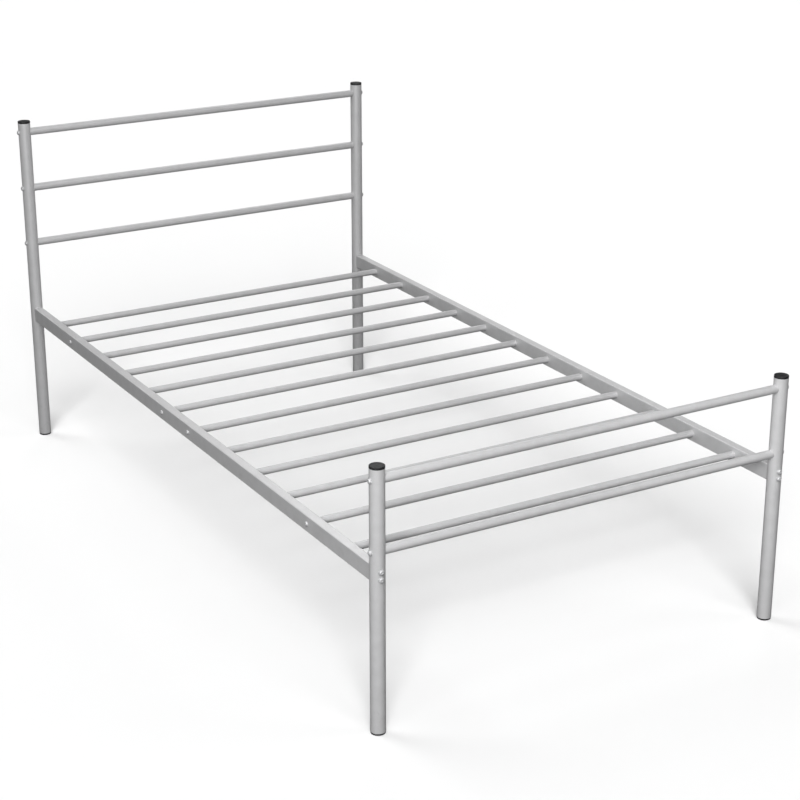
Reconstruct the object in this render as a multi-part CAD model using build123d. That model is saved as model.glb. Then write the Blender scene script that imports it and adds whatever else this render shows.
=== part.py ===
from build123d import *
import os

# A single bed frame. Two end frames of round steel tube, a tall headboard and a low footboard,
# are joined by two box-section side rails, and twelve round slats run from rail to rail.
# Millimetres. X runs across the bed, Y along it with the headboard at +Y, and Z is up.
# The origin is on the floor, under the middle of the bed.

# Driving dimensions: the mattress bay
mattress_length = 1905.0
mattress_width = 990.0
mattress_end_gap = 2.5
mattress_side_gap = 6.5

# Tube sections
post_diameter = 33.0
post_wall = 1.2
bar_diameter = 20.0
bar_wall = 1.2
slat_diameter = 17.0
slat_wall = 1.0
rail_width = 22.0
rail_height = 38.0
rail_wall = 1.2
rail_corner_radius = 2.5

# Heights above the floor
rail_level = 362.5
lowest_bar_level = 411.5
bar_pitch = 155.0
post_above_top_bar = 30.5
footboard_bars = {"lower": 0, "top": 1}
headboard_bars = {"lower": 1, "middle": 2, "top": 3}

# Slats
slat_count = 12
slat_pitch = 151.3
bolted_slats = (2, 6, 7, 11)

# Clearances
seat_gap = 0.05
slip_gap = 0.1

# Fasteners: M6 button-head bolts with a hexagon socket
bolt_radius = 3.0
bolt_hole_radius = 3.3
thread_hole_radius = 3.05
bolt_head_radius = 5.5
bolt_head_height = 3.2
bolt_head_round = 2.7
socket_across_flats = 4.0
socket_depth = 2.0
frame_bolt_length = 50.0
slat_bolt_length = 20.0
washer_radius = 7.0
washer_thickness = 3.0
washer_crown = 0.8
rail_bolt_spacing = 17.0

# Threaded inserts and rail ends
plug_length_bar = 25.0
plug_length_slat = 20.0
saddle_crown = 2.0
end_plate_thickness = 3.0
nut_across_flats = 10.0
nut_thickness = 5.0

# Plastic caps and foot glides
cap_radius = 16.5
cap_height = 5.0
cap_round = 0.8
glide_radius = 16.0
glide_height = 4.5
glide_round = 1.2
spigot_length = 18.0
spigot_wall = 2.0
rib_count = 3
rib_height = 1.5
rib_depth = 0.5
rib_pitch = 5.0

# Places worked out from the dimensions above
post_radius = post_diameter / 2
bar_radius = bar_diameter / 2
slat_radius = slat_diameter / 2
post_y = mattress_length / 2 + mattress_end_gap + bar_radius
rail_x = mattress_width / 2 + mattress_side_gap + rail_width / 2
post_x = rail_x
rail_outer_x = rail_x + rail_width / 2
rail_end_y = post_y - post_radius - saddle_crown
slat_end_x = rail_outer_x - rail_wall - seat_gap
rail_bolt_levels = (rail_level - rail_bolt_spacing / 2, rail_level + rail_bolt_spacing / 2)
slat_places = [(slat_count - 1) * slat_pitch / 2 - index * slat_pitch for index in range(slat_count)]
bolted_places = [slat_places[number - 1] for number in bolted_slats]
facing = {(1, 0): 0, (-1, 0): 180, (0, 1): 90, (0, -1): -90}
sides = {"left": -1, "right": 1}


def bar_level(step):
    return lowest_bar_level + step * bar_pitch


def post_height(bars):
    return bar_level(bars["top"]) + post_above_top_bar


def along_x(shape):
    return Rot(0, 90, 0) * shape


def along_y(shape):
    return Rot(-90, 0, 0) * shape


def post_core():
    """A solid rod on the post's axis, used to cope whatever seats against a post."""
    return Cylinder(post_radius + seat_gap, 2 * rail_height)


def post(bars):
    """Round tube standing on its glide, drilled for the cross bar bolts and the rail bolts."""
    length = post_height(bars) - cap_height - glide_height
    tube = Cylinder(post_radius, length) - Cylinder(post_radius - post_wall, length)
    tube = Pos(0, 0, glide_height + length / 2) * tube
    drill = Cylinder(bolt_hole_radius, 2 * post_diameter)
    for step in bars.values():
        tube -= Pos(0, 0, bar_level(step)) * along_x(drill)
    for level in rail_bolt_levels:
        tube -= Pos(0, 0, level) * along_y(drill)
    return tube


def spigot():
    """Ribbed hollow stub that grips the inside of a post, hanging down from the origin."""
    bore_radius = post_radius - post_wall
    core_radius = bore_radius - slip_gap - rib_depth
    stub = Pos(0, 0, -spigot_length / 2) * Cylinder(core_radius, spigot_length)
    for index in range(rib_count):
        rib_level = -(rib_pitch * index + rib_pitch / 2 + rib_height / 2)
        stub += Pos(0, 0, rib_level) * Cylinder(bore_radius - slip_gap, rib_height)
    hollow = Cylinder(core_radius - spigot_wall, spigot_length)
    return stub - Pos(0, 0, -spigot_length / 2) * hollow


def post_cap():
    """Plastic push-in cap with a rounded rim, seated on the end of the tube at the origin."""
    disc = Pos(0, 0, cap_height / 2) * Cylinder(cap_radius, cap_height)
    disc = fillet(disc.edges().sort_by(Axis.Z)[-1], cap_round)
    return disc + spigot()


def foot_glide():
    """Plastic push-in foot: a flat disc on the floor and a ribbed spigot up the post."""
    disc = Pos(0, 0, glide_height / 2) * Cylinder(glide_radius, glide_height)
    disc = fillet(disc.edges().sort_by(Axis.Z)[0], glide_round)
    return disc + Pos(0, 0, glide_height) * Rot(180, 0, 0) * spigot()


def cross_bar():
    """Round tube between two posts, its ends coped to sit round them."""
    span = 2 * post_x
    bar = along_x(Cylinder(bar_radius, span) - Cylinder(bar_radius - bar_wall, span))
    for side in sides.values():
        bar -= Pos(side * post_x, 0, 0) * post_core()
    return bar


def bar_plug():
    """Threaded steel plug fixed in the end of a cross bar, for a post on the origin's axis."""
    reach = post_radius + plug_length_bar
    plug = along_x(Cylinder(bar_radius - bar_wall - slip_gap, reach) - Cylinder(thread_hole_radius, reach))
    plug = Pos(-reach / 2, 0, 0) * plug
    return plug - post_core()


def button_bolt(length):
    """Bolt along X with its head outwards at +X, seated on the plane X = 0."""
    head = Pos(0, 0, bolt_head_height / 2) * Cylinder(bolt_head_radius, bolt_head_height)
    head = fillet(head.edges().sort_by(Axis.Z)[-1], bolt_head_round)
    socket = extrude(RegularPolygon(socket_across_flats / 2, 6, major_radius=False), socket_depth)
    head -= Pos(0, 0, bolt_head_height - socket_depth) * socket
    shank = Pos(0, 0, -length / 2) * Cylinder(bolt_radius, length)
    return along_x(head + shank)


def saddle_washer():
    """Washer with a flat outer face and a hollow inner face that follows the post."""
    washer = Cylinder(washer_radius, washer_thickness) - Cylinder(bolt_hole_radius, washer_thickness)
    washer = Pos(post_radius + washer_crown - washer_thickness / 2, 0, 0) * along_x(washer)
    return washer - post_core()


def rail_outline():
    return RectangleRounded(rail_width, rail_height, rail_corner_radius)


def side_rail():
    """Right-hand rail: rounded box section, holed on the inside for slats, outside for slat bolts."""
    length = 2 * rail_end_y
    outer = rail_outline()
    inner = RectangleRounded(rail_width - 2 * rail_wall, rail_height - 2 * rail_wall,
                             rail_corner_radius - rail_wall)
    rail = Rot(90, 0, 0) * extrude(outer - inner, length / 2, both=True)
    slat_hole = Pos(-rail_width / 2, 0, 0) * along_x(Cylinder(slat_radius + slip_gap, rail_width / 2))
    bolt_hole = Pos(rail_width / 2, 0, 0) * along_x(Cylinder(bolt_hole_radius, rail_width / 2))
    for place in slat_places:
        rail -= Pos(0, place, 0) * slat_hole
    for place in bolted_places:
        rail -= Pos(0, place, 0) * bolt_hole
    return Pos(rail_x, 0, rail_level) * rail


def rail_end_plate():
    """Steel plate welded just inside the end of a rail, outer face on the plane Y = 0."""
    section = RectangleRounded(rail_width - 2 * rail_wall - slip_gap,
                               rail_height - 2 * rail_wall - slip_gap,
                               rail_corner_radius - rail_wall)
    plate = Pos(0, -end_plate_thickness, 0) * along_y(extrude(section, end_plate_thickness))
    for offset in (-rail_bolt_spacing / 2, rail_bolt_spacing / 2):
        plate -= Pos(0, 0, offset) * along_y(Cylinder(bolt_hole_radius, 4 * end_plate_thickness))
    return plate


def weld_nut():
    """Hexagon nut welded behind an end plate, its face on the plane Y = 0."""
    blank = RegularPolygon(nut_across_flats / 2, 6, major_radius=False) - Circle(thread_hole_radius)
    return Pos(0, -nut_thickness, 0) * along_y(extrude(blank, nut_thickness))


def post_saddle():
    """Block of the rail's section that meets its flat end, hollowed to fit the post at the origin."""
    near_face = post_radius + saddle_crown
    block = Pos(0, -near_face, 0) * along_y(extrude(rail_outline(), near_face))
    block -= post_core()
    for offset in (-rail_bolt_spacing / 2, rail_bolt_spacing / 2):
        block -= Pos(0, 0, offset) * along_y(Cylinder(bolt_hole_radius, 4 * near_face))
    return block


def slat():
    tube = Cylinder(slat_radius, 2 * slat_end_x) - Cylinder(slat_radius - slat_wall, 2 * slat_end_x)
    return along_x(tube)


def slat_plug():
    """Threaded steel plug in the end of a bolted slat, its outer face on the plane X = 0."""
    plug = Cylinder(slat_radius - slat_wall - slip_gap, plug_length_slat)
    plug -= Cylinder(thread_hole_radius, plug_length_slat)
    return Pos(-plug_length_slat / 2, 0, 0) * along_x(plug)


def turned(shape, direction, place):
    """A shape made facing +X, turned about Z to face a direction and moved to its place."""
    return Pos(*place) * Rot(0, 0, facing[direction]) * shape


def end_frame(name, end, bars):
    """Posts, caps, glides and cross bars of one end, as a dictionary of nodes."""
    nodes = {}
    for side_name, side in sides.items():
        corner = Pos(side * post_x, end * post_y, 0)
        nodes[f"{name}_post_{side_name}"] = corner * post(bars)
        nodes[f"{name}_cap_{side_name}"] = corner * Pos(0, 0, post_height(bars) - cap_height) * post_cap()
        nodes[f"{name}_glide_{side_name}"] = corner * foot_glide()
    for bar_name, step in bars.items():
        nodes[f"{name}board_{bar_name}_bar"] = Pos(0, end * post_y, bar_level(step)) * cross_bar()
    return nodes


def bar_joints(shape_at_post):
    """One copy of a part at every joint of a cross bar and a post."""
    copies = []
    for end, bars in ((1, headboard_bars), (-1, footboard_bars)):
        for step in bars.values():
            for side in sides.values():
                place = (side * post_x, end * post_y, bar_level(step))
                copies.append(turned(shape_at_post, (side, 0), place))
    return Compound(children=copies)


def rail_joints(shape, distance_from_post, levels):
    """One copy of a part on the centre line of each rail end, at each of the given levels."""
    copies = []
    for side in sides.values():
        for end in (1, -1):
            for level in levels:
                place = (side * post_x, end * (post_y + distance_from_post), level)
                copies.append(turned(shape, (0, end), place))
    return Compound(children=copies)


def slat_joints(shape, distance):
    """One copy of a part at each end of the bolted slats."""
    copies = []
    for place_y in bolted_places:
        for side in sides.values():
            copies.append(turned(shape, (side, 0), (side * distance, place_y, rail_level)))
    return Compound(children=copies)


bolt_seat = post_radius + washer_crown
frame_bolt = button_bolt(frame_bolt_length)
rail_end_offset = rail_end_y - post_y
facing_x = Rot(0, 0, -90)

right_rail = side_rail()
nodes = {}
nodes.update(end_frame("head", 1, headboard_bars))
nodes.update(end_frame("foot", -1, footboard_bars))
nodes["side_rail_right"] = right_rail
nodes["side_rail_left"] = mirror(right_rail, about=Plane.YZ)
for number, place_y in enumerate(slat_places, start=1):
    nodes[f"slat_{number:02d}"] = Pos(0, place_y, rail_level) * slat()
nodes["bar_end_plugs"] = bar_joints(bar_plug())
nodes["bar_bolt_washers"] = bar_joints(saddle_washer())
nodes["bar_bolts"] = bar_joints(Pos(bolt_seat, 0, 0) * frame_bolt)
nodes["rail_end_plates"] = rail_joints(facing_x * rail_end_plate(), rail_end_offset, (rail_level,))
nodes["rail_weld_nuts"] = rail_joints(facing_x * weld_nut(), rail_end_offset - end_plate_thickness,
                                      rail_bolt_levels)
nodes["post_saddles"] = rail_joints(facing_x * post_saddle(), 0, (rail_level,))
nodes["rail_bolt_washers"] = rail_joints(saddle_washer(), 0, rail_bolt_levels)
nodes["rail_bolts"] = rail_joints(Pos(bolt_seat, 0, 0) * frame_bolt, 0, rail_bolt_levels)
nodes["slat_end_plugs"] = slat_joints(slat_plug(), slat_end_x)
nodes["slat_bolts"] = slat_joints(button_bolt(slat_bolt_length), rail_outer_x)

os.makedirs("parts", exist_ok=True)
for name, shape in nodes.items():
    export_step(shape, f"parts/{name}.step")
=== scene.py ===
import math

import bpy
from mathutils import Matrix, Vector


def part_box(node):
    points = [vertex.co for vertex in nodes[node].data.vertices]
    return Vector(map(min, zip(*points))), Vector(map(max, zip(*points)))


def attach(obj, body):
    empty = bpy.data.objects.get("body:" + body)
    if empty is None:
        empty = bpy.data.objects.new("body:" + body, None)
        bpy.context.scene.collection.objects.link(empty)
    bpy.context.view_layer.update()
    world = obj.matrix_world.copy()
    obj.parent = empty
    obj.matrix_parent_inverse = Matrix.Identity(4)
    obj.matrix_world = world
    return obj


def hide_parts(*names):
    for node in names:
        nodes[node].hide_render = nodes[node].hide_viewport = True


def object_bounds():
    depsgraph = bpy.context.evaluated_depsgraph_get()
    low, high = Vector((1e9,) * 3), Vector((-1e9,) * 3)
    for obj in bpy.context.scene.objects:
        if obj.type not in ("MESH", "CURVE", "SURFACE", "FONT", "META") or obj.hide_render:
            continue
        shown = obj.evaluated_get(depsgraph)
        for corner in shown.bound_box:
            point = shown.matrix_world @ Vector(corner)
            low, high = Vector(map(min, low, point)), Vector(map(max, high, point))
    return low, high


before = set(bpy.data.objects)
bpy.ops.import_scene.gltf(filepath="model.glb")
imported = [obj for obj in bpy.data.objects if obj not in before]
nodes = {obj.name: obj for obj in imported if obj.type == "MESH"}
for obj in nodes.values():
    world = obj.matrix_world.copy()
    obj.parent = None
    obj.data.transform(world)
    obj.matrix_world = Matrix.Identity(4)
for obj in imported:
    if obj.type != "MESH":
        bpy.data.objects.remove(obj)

cad_low, cad_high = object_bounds()


# The four posts: round drawn steel tube, 33 mm across, standing upright at the corners. They
# are sprayed with a silver polyester powder and baked. The coat has a faint orange peel and
# mottled aluminium flake, and it is rubbed most low down, where shoes reach.
coat_grey = (0.49, 0.49, 0.495)
thin_coat = 0.965
thick_coat = 1.03
flake_silver = (0.68, 0.68, 0.69)
rubbed_grey = (0.33, 0.325, 0.32)
coat_roughness = 0.45
roughness_spread = 0.06
coat_metallic = 0.25
coat_specular = 0.45
mottle_scale = 38.0
flake_scale = 1100.0
flake_size = 0.30
flake_strength = 0.55
rub_scale = 70.0
rub_direction = (1.0, 0.35, 0.6)
rub_above = 0.15
sheen_scale = 850.0
orange_peel_scale = 520.0
orange_peel_strength = 0.45
orange_peel_height = 0.00016
post_nodes = [name for name in nodes if "_post_" in name]
post_rub = 0.3
kick_height = 0.16


def add_node(tree, kind, **settings):
    """A shader node with its sockets and options set by name."""
    node = tree.nodes.new(kind)
    for key, value in settings.items():
        if hasattr(node, key):
            setattr(node, key, value)
        else:
            node.inputs[key.replace("_", " ")].default_value = value
    return node


def noise(tree, coordinates, scale, detail=2.0, distortion=0.0):
    """Soft random grain; a larger scale makes it finer, more detail makes it rougher."""
    grain = add_node(tree, "ShaderNodeTexNoise", Scale=scale, Detail=detail, Distortion=distortion)
    tree.links.new(coordinates, grain.inputs["Vector"])
    return grain.outputs["Fac"]


def remap(tree, value, low, high, out_low=0.0, out_high=1.0):
    """Stretches the values from low to high over another range, and clamps the rest."""
    spread = add_node(tree, "ShaderNodeMapRange", From_Min=low, From_Max=high,
                      To_Min=out_low, To_Max=out_high)
    tree.links.new(value, spread.inputs["Value"])
    return spread.outputs["Result"]


def multiply(tree, first, second):
    product = add_node(tree, "ShaderNodeMath", operation="MULTIPLY")
    tree.links.new(first, product.inputs[0])
    tree.links.new(second, product.inputs[1])
    return product.outputs["Value"]


def mix_colour(tree, share, first, second):
    """Colour between two others; each may be a constant or an output socket."""
    mix = add_node(tree, "ShaderNodeMix", data_type="RGBA")
    tree.links.new(share, mix.inputs["Factor"])
    for socket, colour in ((mix.inputs[6], first), (mix.inputs[7], second)):
        if isinstance(colour, tuple):
            socket.default_value = (*colour, 1.0)
        else:
            tree.links.new(colour, socket)
    return mix.outputs[2]


def start_material(name):
    """A new material, its node tree, its main shader and the place on the object in metres."""
    material = bpy.data.materials.new(name)
    material.use_nodes = True
    tree = material.node_tree
    place = add_node(tree, "ShaderNodeTexCoord").outputs["Object"]
    return material, tree, tree.nodes["Principled BSDF"], place


def add_bump(tree, shader, height, strength, distance):
    bump = add_node(tree, "ShaderNodeBump", Strength=strength, Distance=distance)
    tree.links.new(height, bump.inputs["Height"])
    tree.links.new(bump.outputs["Normal"], shader.inputs["Normal"])


def powder_coat(name, rub_amount, rub_below=None):
    """Silver powder coat. rub_amount is how much of it is dulled by handling."""
    material, tree, shader, place = start_material(name)
    thin = tuple(thin_coat * part for part in coat_grey)
    thick = tuple(thick_coat * part for part in coat_grey)
    mottle = remap(tree, noise(tree, place, mottle_scale, 5.0), 0.35, 0.65)
    colour = mix_colour(tree, mottle, thin, thick)
    flake = add_node(tree, "ShaderNodeTexVoronoi", Scale=flake_scale)
    tree.links.new(place, flake.inputs["Vector"])
    flake_share = remap(tree, flake.outputs["Distance"], 0.0, flake_size, flake_strength, 0.0)
    colour = mix_colour(tree, flake_share, colour, flake_silver)
    stretch = add_node(tree, "ShaderNodeMapping", Scale=rub_direction)
    tree.links.new(place, stretch.inputs["Vector"])
    scuffs = noise(tree, stretch.outputs["Vector"], rub_scale, 8.0, 1.4)
    rub = remap(tree, scuffs, 0.60, 0.70, 0.0, rub_amount)
    if rub_below is not None:
        height = add_node(tree, "ShaderNodeSeparateXYZ")
        tree.links.new(place, height.inputs["Vector"])
        near_floor = remap(tree, height.outputs["Z"], 0.2 * rub_below, rub_below, 1.0, rub_above)
        rub = multiply(tree, rub, near_floor)
    colour = mix_colour(tree, rub, colour, rubbed_grey)
    tree.links.new(colour, shader.inputs["Base Color"])
    sheen = remap(tree, noise(tree, place, sheen_scale, 2.0), 0.3, 0.7,
                  coat_roughness - roughness_spread, coat_roughness + roughness_spread)
    tree.links.new(sheen, shader.inputs["Roughness"])
    shader.inputs["Metallic"].default_value = coat_metallic
    shader.inputs["Specular IOR Level"].default_value = coat_specular
    orange_peel = noise(tree, place, orange_peel_scale, 2.5)
    add_bump(tree, shader, orange_peel, orange_peel_strength, orange_peel_height)
    return material


def dress(names, material):
    """Gives CAD nodes a finish in place of the plain one they came with."""
    for name in names:
        nodes[name].data.materials.clear()
        nodes[name].data.materials.append(material)


dress(post_nodes, powder_coat("post_powder_coat", post_rub, kick_height))


# The cross bars: 20 mm round tube, three across the headboard and two across the footboard,
# coped at both ends to sit round the posts and sprayed with the same silver powder.
# Hands and pillows touch them all along, so their light rubbing is even from end to end.
bar_nodes = [name for name in nodes if name.endswith("_bar")]
bar_rub = 0.12
dress(bar_nodes, powder_coat("bar_powder_coat", bar_rub))


# The side rails: 22 by 38 mm box section with rounded corners, and the saddles that fill the
# space between a flat rail end and a round post. All are steel with the same silver powder,
# rubbed a little more than the bars because the mattress is dragged over them.
rail_nodes = ["side_rail_left", "side_rail_right", "post_saddles"]
rail_rub = 0.15
dress(rail_nodes, powder_coat("rail_powder_coat", rail_rub))


# The slats: twelve 17 mm round tubes, plugged into holes in the inner walls of the rails.
# They have the same silver powder, lightly rubbed where the mattress lies on them.
slat_nodes = [name for name in nodes if name.startswith("slat_") and name[-1].isdigit()]
slat_rub = 0.14
dress(slat_nodes, powder_coat("slat_powder_coat", slat_rub))


# The steel inside the tubes: threaded plugs, welded end plates and their nuts.
# They are turned or pressed mild steel, left bare and lightly oiled.
hidden_steel_nodes = ["bar_end_plugs", "slat_end_plugs", "rail_end_plates", "rail_weld_nuts"]
steel_dark = (0.40, 0.40, 0.41)
steel_light = (0.52, 0.51, 0.50)
steel_roughness = 0.42
turning_scale = 420.0
turning_depth = 0.0001


def bare_steel(name):
    material, tree, shader, place = start_material(name)
    lay = add_node(tree, "ShaderNodeMapping", Scale=(1.0, 1.0, 6.0))
    tree.links.new(place, lay.inputs["Vector"])
    turning = noise(tree, lay.outputs["Vector"], turning_scale, 3.0)
    colour = mix_colour(tree, remap(tree, turning, 0.35, 0.65), steel_dark, steel_light)
    tree.links.new(colour, shader.inputs["Base Color"])
    shader.inputs["Metallic"].default_value = 1.0
    shader.inputs["Roughness"].default_value = steel_roughness
    add_bump(tree, shader, turning, 0.2, turning_depth)
    return material


dress(hidden_steel_nodes, bare_steel("bare_mild_steel"))


# The bolts and their saddle washers: M6 button heads with a hexagon socket, pressed and
# thread-rolled from steel wire, then plated with dull zinc. Each is driven with a 4 mm key.
bolt_head_radius = 0.0055
bolt_head_height = 0.0032
bolt_head_round = 0.0026
socket_across_flats = 0.004
socket_radius = socket_across_flats / math.sqrt(3)
socket_depth = 0.0019
shank_radius = 0.003
shank_chamfer = 0.0005
frame_bolt_length = 0.05
slat_bolt_length = 0.02
zinc_dark = (0.45, 0.455, 0.462)
zinc_light = (0.54, 0.543, 0.548)
zinc_roughness = (0.50, 0.62)
zinc_metallic = 0.4
zinc_grain_height = 0.00005


def zinc_plate(name):
    material, tree, shader, place = start_material(name)
    cloud = remap(tree, noise(tree, place, 260.0, 4.0), 0.3, 0.7)
    colour = mix_colour(tree, cloud, zinc_dark, zinc_light)
    tree.links.new(colour, shader.inputs["Base Color"])
    sheen = remap(tree, noise(tree, place, 900.0, 3.0), 0.3, 0.7, *zinc_roughness)
    tree.links.new(sheen, shader.inputs["Roughness"])
    shader.inputs["Metallic"].default_value = zinc_metallic
    add_bump(tree, shader, noise(tree, place, 1500.0, 2.0), 0.15, zinc_grain_height)
    return material


def clear_selection():
    if bpy.context.mode != "OBJECT":
        bpy.ops.object.mode_set(mode="OBJECT")
    bpy.ops.object.select_all(action="DESELECT")


def add_cylinder(name, radius, low, high, sides):
    """Upright cylinder on the Z axis from one height to another, left selected and active."""
    clear_selection()
    bpy.ops.mesh.primitive_cylinder_add(vertices=sides, radius=radius, depth=high - low,
                                        location=(0, 0, (low + high) / 2))
    bpy.ops.object.transform_apply(location=True, rotation=True, scale=True)
    piece = bpy.context.object
    piece.name = name
    piece.data.name = name
    return piece


def pick_faces(piece, wanted):
    """Selects the faces whose centre and normal pass the test, and stays in edit mode."""
    bpy.ops.object.mode_set(mode="EDIT")
    bpy.ops.mesh.select_mode(type="FACE")
    bpy.ops.mesh.select_all(action="DESELECT")
    bpy.ops.object.mode_set(mode="OBJECT")
    for face in piece.data.polygons:
        face.select = wanted(face.center, face.normal)
    bpy.ops.object.mode_set(mode="EDIT")


def round_rim(piece, height, radius, width, segments):
    """Bevels the ring of edges at one height and radius."""
    bpy.ops.object.mode_set(mode="EDIT")
    bpy.ops.mesh.select_mode(type="EDGE")
    bpy.ops.mesh.select_all(action="DESELECT")
    bpy.ops.object.mode_set(mode="OBJECT")
    for edge in piece.data.edges:
        ends = [piece.data.vertices[index].co for index in edge.vertices]
        edge.select = all(abs(end.z - height) < 1e-5 and abs(end.xy.length - radius) < 1e-5
                          for end in ends)
    bpy.ops.object.mode_set(mode="EDIT")
    bpy.ops.mesh.bevel(offset=width, segments=segments, profile=0.5, affect="EDGES")
    bpy.ops.object.mode_set(mode="OBJECT")


def cut_away(piece, cutter):
    """Takes the cutter's shape out of the piece and removes the cutter."""
    clear_selection()
    piece.select_set(True)
    bpy.context.view_layer.objects.active = piece
    cut = piece.modifiers.new("cut", "BOOLEAN")
    cut.operation = "DIFFERENCE"
    cut.solver = "EXACT"
    cut.object = cutter
    bpy.ops.object.modifier_apply(modifier=cut.name)
    bpy.data.objects.remove(cutter)


def smooth(piece, angle=35.0):
    clear_selection()
    piece.select_set(True)
    bpy.context.view_layer.objects.active = piece
    bpy.ops.object.shade_smooth_by_angle(angle=math.radians(angle))


def model_bolt(length):
    """Button-head bolt along Z, head up, seated on the plane Z = 0."""
    bolt = add_cylinder("bolt", bolt_head_radius, 0.0, bolt_head_height, 64)
    round_rim(bolt, bolt_head_height, bolt_head_radius, bolt_head_round, 10)
    pick_faces(bolt, lambda centre, normal: normal.z < -0.9)
    bpy.ops.mesh.inset(thickness=bolt_head_radius - shank_radius)
    bpy.ops.mesh.extrude_region_move(TRANSFORM_OT_translate={"value": (0, 0, -length)})
    bpy.ops.object.mode_set(mode="OBJECT")
    round_rim(bolt, -length, shank_radius, shank_chamfer, 1)
    cut_away(bolt, add_cylinder("key", socket_radius, bolt_head_height - socket_depth,
                                3 * bolt_head_height, 6))
    bolt.data.materials.append(zinc)
    smooth(bolt)
    return bolt


def copy_placed(pattern, placements, name):
    """Copies of a pattern at several placements, joined into one piece; the pattern goes."""
    copies = []
    for placement in placements:
        copy = bpy.data.objects.new(name, pattern.data.copy())
        bpy.context.scene.collection.objects.link(copy)
        copy.data.transform(placement)
        copies.append(copy)
    clear_selection()
    for copy in copies:
        copy.select_set(True)
    bpy.context.view_layer.objects.active = copies[0]
    bpy.ops.object.join()
    bpy.data.objects.remove(pattern)
    copies[0].name = name
    return copies[0]


def facing(direction, place):
    """Placement that turns +Z to a direction and moves the origin to a place."""
    turn = direction.to_track_quat("Z", "Y").to_matrix().to_4x4()
    return Matrix.Translation(place) @ turn


def node_middle(name):
    low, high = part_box(name)
    return (low + high) / 2


def facing_outwards(names, seat):
    """Placements at both ends of bars or slats, with heads out to the left and right."""
    placements = []
    for name in names:
        centre = node_middle(name)
        for side in (-1, 1):
            place = Vector((side * seat, centre.y, centre.z))
            placements.append(facing(side * across, place))
    return placements


zinc = zinc_plate("zinc_plate")
dress(["bar_bolt_washers", "rail_bolt_washers"], zinc)
across, along = Vector((1, 0, 0)), Vector((0, 1, 0))

bar_bolt_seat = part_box("bar_bolts")[1].x - bolt_head_height
bar_bolt_places = facing_outwards(bar_nodes, bar_bolt_seat)
bar_bolts = copy_placed(model_bolt(frame_bolt_length), bar_bolt_places, "button_bolts_bars")
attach(bar_bolts, "root")
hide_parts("bar_bolts")

rail_bolts_low, rail_bolts_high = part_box("rail_bolts")
rail_bolt_seat = rail_bolts_high.y - bolt_head_height
rail_bolt_levels = (rail_bolts_low.z + bolt_head_radius, rail_bolts_high.z - bolt_head_radius)
rail_bolt_places = []
for rail in ("side_rail_left", "side_rail_right"):
    for end in (-1, 1):
        for level in rail_bolt_levels:
            place = Vector((node_middle(rail).x, end * rail_bolt_seat, level))
            rail_bolt_places.append(facing(end * along, place))
rail_bolts = copy_placed(model_bolt(frame_bolt_length), rail_bolt_places, "button_bolts_rails")
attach(rail_bolts, "root")
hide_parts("rail_bolts")

slat_bolt_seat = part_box("slat_bolts")[1].x - bolt_head_height
bolted_slats = ("slat_02", "slat_06", "slat_07", "slat_11")
slat_bolt_places = facing_outwards(bolted_slats, slat_bolt_seat)
slat_bolts = copy_placed(model_bolt(slat_bolt_length), slat_bolt_places, "button_bolts_slats")
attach(slat_bolts, "root")
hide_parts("slat_bolts")


# The post caps: black polyethylene push-in plugs that close the tops of the posts.
# Each is a moulded disc with a rounded rim, a shallow dished top and a small gate mark at
# its centre, on a ribbed stub that grips the inside of the tube.
cap_nodes = [name for name in nodes if "_cap_" in name]
stub_length = 0.018
stub_radius = 0.0147
stub_grip = 0.0005
stub_ribs = 3
stub_wall = 0.002
stub_floor = 0.001
cap_rim_round = 0.0008
cap_rim_width = 0.0012
cap_step_width = 0.0006
cap_step_depth = 0.0004
dish_ring = 0.0028
dish_fall = 0.00008
dish_floor_ring = 0.0022
dish_floor_fall = 0.00002
gate_mark_edge = 0.0002
gate_mark_height = 0.0003
plastic_black = (0.010, 0.010, 0.011)
plastic_bloom = (0.019, 0.019, 0.020)
plastic_roughness = (0.42, 0.60)
plastic_specular = 0.3
plastic_grain_height = 0.00008


def moulded_plastic(name):
    material, tree, shader, place = start_material(name)
    bloom = remap(tree, noise(tree, place, 60.0, 5.0), 0.45, 0.75)
    colour = mix_colour(tree, bloom, plastic_black, plastic_bloom)
    tree.links.new(colour, shader.inputs["Base Color"])
    sheen = remap(tree, noise(tree, place, 300.0, 3.0), 0.3, 0.7, *plastic_roughness)
    tree.links.new(sheen, shader.inputs["Roughness"])
    shader.inputs["Specular IOR Level"].default_value = plastic_specular
    add_bump(tree, shader, noise(tree, place, 2200.0, 2.0), 0.25, plastic_grain_height)
    return material


black_plastic = moulded_plastic("black_polyethylene")


def push_in_stub(piece, radius):
    """Grows the hollow gripping stub down from the underside at Z = 0, with soft ribs."""
    pick_faces(piece, lambda centre, normal: normal.z < -0.9 and abs(centre.z) < 1e-5)
    bpy.ops.mesh.inset(thickness=radius - stub_radius)
    step_length = stub_length / (2 * stub_ribs)
    for step in range(2 * stub_ribs):
        bpy.ops.mesh.extrude_region_move(TRANSFORM_OT_translate={"value": (0, 0, -step_length)})
        swell = stub_grip if step % 2 == 0 else -stub_grip
        bpy.ops.transform.resize(value=[1 + swell / stub_radius] * 2 + [1])
    bpy.ops.mesh.inset(thickness=stub_wall)
    hollow = stub_length - stub_floor
    bpy.ops.mesh.extrude_region_move(TRANSFORM_OT_translate={"value": (0, 0, hollow)})
    bpy.ops.object.mode_set(mode="OBJECT")


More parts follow.
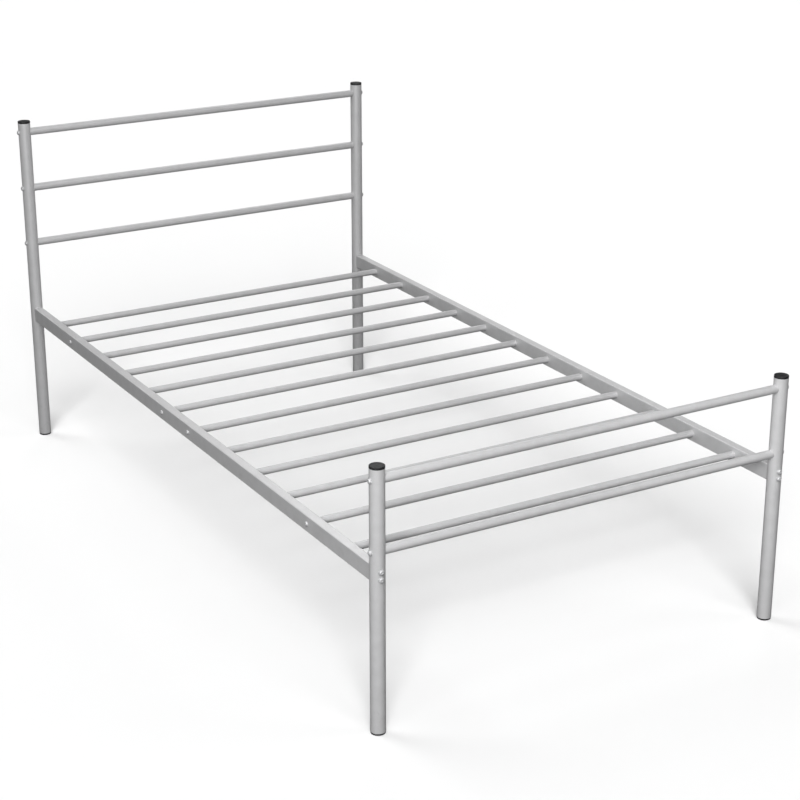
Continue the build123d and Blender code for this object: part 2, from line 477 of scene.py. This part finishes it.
def model_cap():
    """Post cap on the Z axis, seated on the plane Z = 0."""
    low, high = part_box(cap_nodes[0])
    radius = (high.x - low.x) / 2
    height = high.z - low.z - stub_length
    cap = add_cylinder("cap", radius, 0.0, height, 96)
    round_rim(cap, height, radius, cap_rim_round, 6)
    pick_faces(cap, lambda centre, normal: normal.z > 0.999)
    bpy.ops.mesh.inset(thickness=cap_rim_width)
    bpy.ops.mesh.inset(thickness=cap_step_width, depth=-cap_step_depth)
    for _ in range(3):
        bpy.ops.mesh.inset(thickness=dish_ring, depth=-dish_fall)
    bpy.ops.mesh.inset(thickness=dish_floor_ring, depth=-dish_floor_fall)
    bpy.ops.mesh.inset(thickness=gate_mark_edge, depth=gate_mark_height)
    bpy.ops.object.mode_set(mode="OBJECT")
    push_in_stub(cap, radius)
    cap.data.materials.append(black_plastic)
    smooth(cap)
    return cap


cap_pattern = model_cap()
for name in cap_nodes:
    low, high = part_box(name)
    seat = Vector(((low.x + high.x) / 2, (low.y + high.y) / 2, low.z + stub_length))
    cap = bpy.data.objects.new("moulded_" + name, cap_pattern.data.copy())
    bpy.context.scene.collection.objects.link(cap)
    cap.data.transform(Matrix.Translation(seat))
    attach(cap, "root")
    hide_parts(name)
bpy.data.objects.remove(cap_pattern)


# The foot glides: the same black polyethylene, a 4.5 mm disc that stands on the floor with a
# softened lower edge, fine grip flutes round its rim and a ribbed stub up inside the post.
glide_nodes = [name for name in nodes if "_glide_" in name]
glide_flutes = 36
flute_depth = 0.00035
glide_edge_width = 0.0008
glide_edge_drop = 0.0005
glide_crease = 50.0


def model_glide():
    """Foot glide on the Z axis, standing on the plane Z = 0, modelled upside down."""
    low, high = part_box(glide_nodes[0])
    radius = (high.x - low.x) / 2
    height = high.z - low.z - stub_length
    glide = add_cylinder("glide", radius, 0.0, height, 4 * glide_flutes)
    for vertex in glide.data.vertices:
        turn = math.atan2(vertex.co.y, vertex.co.x)
        dip = flute_depth * 0.5 * (1 - math.cos(glide_flutes * turn))
        vertex.co.xy *= 1 - dip / radius
    pick_faces(glide, lambda centre, normal: normal.z > 0.9)
    bpy.ops.mesh.inset(thickness=glide_edge_width, depth=0.0)
    bpy.ops.object.mode_set(mode="OBJECT")
    for vertex in glide.data.vertices:
        if vertex.co.z > height / 2 and vertex.co.xy.length > radius - 0.75 * glide_edge_width:
            vertex.co.z -= glide_edge_drop
    push_in_stub(glide, radius)
    glide.data.transform(Matrix.Rotation(math.pi, 4, "X"))
    glide.data.transform(Matrix.Translation((0, 0, height)))
    glide.data.materials.append(black_plastic)
    smooth(glide, glide_crease)
    return glide


glide_pattern = model_glide()
for name in glide_nodes:
    low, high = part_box(name)
    seat = Vector(((low.x + high.x) / 2, (low.y + high.y) / 2, low.z))
    glide = bpy.data.objects.new("moulded_" + name, glide_pattern.data.copy())
    bpy.context.scene.collection.objects.link(glide)
    glide.data.transform(Matrix.Translation(seat))
    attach(glide, "root")
    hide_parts(name)
bpy.data.objects.remove(glide_pattern)


# The studio floor: a large plain white sweep, matt, seen bright with soft shadows.
# It gives back only part of its light, so the undersides of the tubes stay dark.
floor_size = 80.0
floor_white = 0.9
floor_bounce = 0.06
clear_selection()
bpy.ops.mesh.primitive_plane_add(size=floor_size, location=(0, 0, 0))
floor = bpy.context.object
floor.name = "studio_floor"


def seen_or_lit(tree, seen, lit):
    """A number that is one thing to the eye and another to bounced light."""
    ray = add_node(tree, "ShaderNodeLightPath")
    choose = add_node(tree, "ShaderNodeMix")
    choose.inputs[2].default_value = lit
    choose.inputs[3].default_value = seen
    tree.links.new(ray.outputs["Is Camera Ray"], choose.inputs[0])
    return choose.outputs[0]


floor_material, floor_tree, floor_shader, _ = start_material("floor_white")
floor_tone = seen_or_lit(floor_tree, floor_white, floor_bounce)
floor_tree.links.new(floor_tone, floor_shader.inputs["Base Color"])
floor_shader.inputs["Roughness"].default_value = 1.0
floor_shader.inputs["Specular IOR Level"].default_value = 0.0
floor.data.materials.append(floor_material)


# The light: soft boxes round the bed for the metal, and wide soft suns for the floor,
# so that the floor stays even and white while the tubes keep their modelling.
# Angles are in degrees, distances and sizes in metres, and powers in watts.
middle = (cad_low + cad_high) / 2
floor_sun_width = 26
floor_sun_distance = 5.0
floor_only = bpy.data.collections.new("floor_only")
floor_only.objects.link(floor)
all_but_floor = bpy.data.collections.new("all_but_floor")
all_but_floor.objects.link(floor)
all_but_floor.collection_objects[0].light_linking.link_state = "EXCLUDE"


def bearing(azimuth, elevation):
    """Unit vector from the bed towards a light or camera."""
    turn, rise = math.radians(azimuth), math.radians(elevation)
    return Vector((math.sin(turn) * math.cos(rise), -math.cos(turn) * math.cos(rise), math.sin(rise)))


def add_light(name, kind, place, strength, target=middle):
    """A light of any kind, aimed at the middle of the bed or another target."""
    light = bpy.data.lights.new(name, kind)
    light.energy = strength
    lamp = bpy.data.objects.new(name, light)
    bpy.context.scene.collection.objects.link(lamp)
    lamp.location = place
    lamp.rotation_euler = (target - place).to_track_quat("-Z", "Y").to_euler()
    return lamp


def soft_box(name, azimuth, elevation, distance, size, watts):
    """A square soft light aimed at the middle of the bed."""
    lamp = add_light(name, "AREA", middle + distance * bearing(azimuth, elevation), watts)
    lamp.data.size = size
    lamp.light_linking.receiver_collection = all_but_floor


def soft_spot(name, azimuth, elevation, distance, cone, watts, target):
    """A pool of light with a soft edge, for one corner of the bed; cone is its full angle."""
    lamp = add_light(name, "SPOT", target + distance * bearing(azimuth, elevation), watts, target)
    lamp.data.spot_size = math.radians(cone)
    lamp.data.spot_blend = 1.0
    lamp.data.shadow_soft_size = 0.25
    lamp.light_linking.receiver_collection = all_but_floor


def low_fill(name, azimuth, watts):
    """Low soft light for the far sides, kept out of reflections so that the tops don't glare."""
    soft_box(name, azimuth, elevation=12, distance=6.0, size=2.2, watts=watts)
    bpy.data.objects[name].visible_glossy = False


def floor_sun(name, azimuth, elevation, share):
    """Gives the open floor its share of full white, seen from any side."""
    strength = share * math.pi / (floor_white * math.sin(math.radians(elevation)))
    place = middle + floor_sun_distance * bearing(azimuth, elevation)
    lamp = add_light(name, "SUN", place, strength)
    lamp.data.angle = math.radians(floor_sun_width)
    lamp.light_linking.receiver_collection = floor_only


soft_box("high_front_left", -30, 50, 6.0, 2.2, 92)
soft_box("low_front_left", -36, 24, 4.5, 1.5, 164)
soft_box("floor_level_front", -30, 12, 6.0, 2.2, 48)
soft_box("steep_front", -10, 70, 5.0, 2.0, 50)
soft_box("rear_left", -120, 35, 6.0, 2.2, 62)
soft_box("rail_edge", -156, 28, 5.0, 1.2, 24)
soft_box("rear_right", 150, 40, 6.0, 2.2, 69)
low_fill("rear_fill", 155, 150)
low_fill("right_fill", 132, 130)
low_fill("side_fill", 75, 80)
soft_spot("right_foot", -30, 32, 3.0, 24, 122, node_middle("foot_post_right"))
floor_sun("floor_sun_key", -30, 35, 0.525)
floor_sun("floor_sun_rear_left", -150, 55, 0.17)
floor_sun("floor_sun_front", 0, 35, 0.10)
floor_sun("floor_sun_left", -60, 35, 0.06)
floor_sun("floor_sun_right", 60, 35, 0.05)
floor_sun("floor_sun_rear_right", 150, 35, 0.04)
floor_sun("floor_sun_rear", 180, 35, 0.03)

world_seen = 1.0
world_fill = 0.035
world = bpy.data.worlds.new("pale_studio")
bpy.context.scene.world = world
world.use_nodes = True
backdrop = world.node_tree.nodes["Background"]
backdrop.inputs["Color"].default_value = (1.0, 1.0, 1.0, 1.0)
world_strength = seen_or_lit(world.node_tree, world_seen, world_fill)
world.node_tree.links.new(world_strength, backdrop.inputs["Strength"])
bpy.context.scene.view_settings.view_transform = "Standard"


# The camera: from the foot end, to the left and above, through a long lens.
camera_azimuth = -30.2
camera_elevation = 20.74
camera_distance = 4.879
sensor_width = 36.0
focal_length = 87.585
aim = middle + Vector((0.054, -0.0815, -0.1175))
camera_data = bpy.data.cameras.new("camera")
camera_data.sensor_width = sensor_width
camera_data.lens = focal_length
camera = bpy.data.objects.new("camera", camera_data)
bpy.context.scene.collection.objects.link(camera)
camera.location = aim + camera_distance * bearing(camera_azimuth, camera_elevation)
camera.rotation_euler = (aim - camera.location).to_track_quat("-Z", "Y").to_euler()
bpy.context.scene.camera = camera

clear_selection()
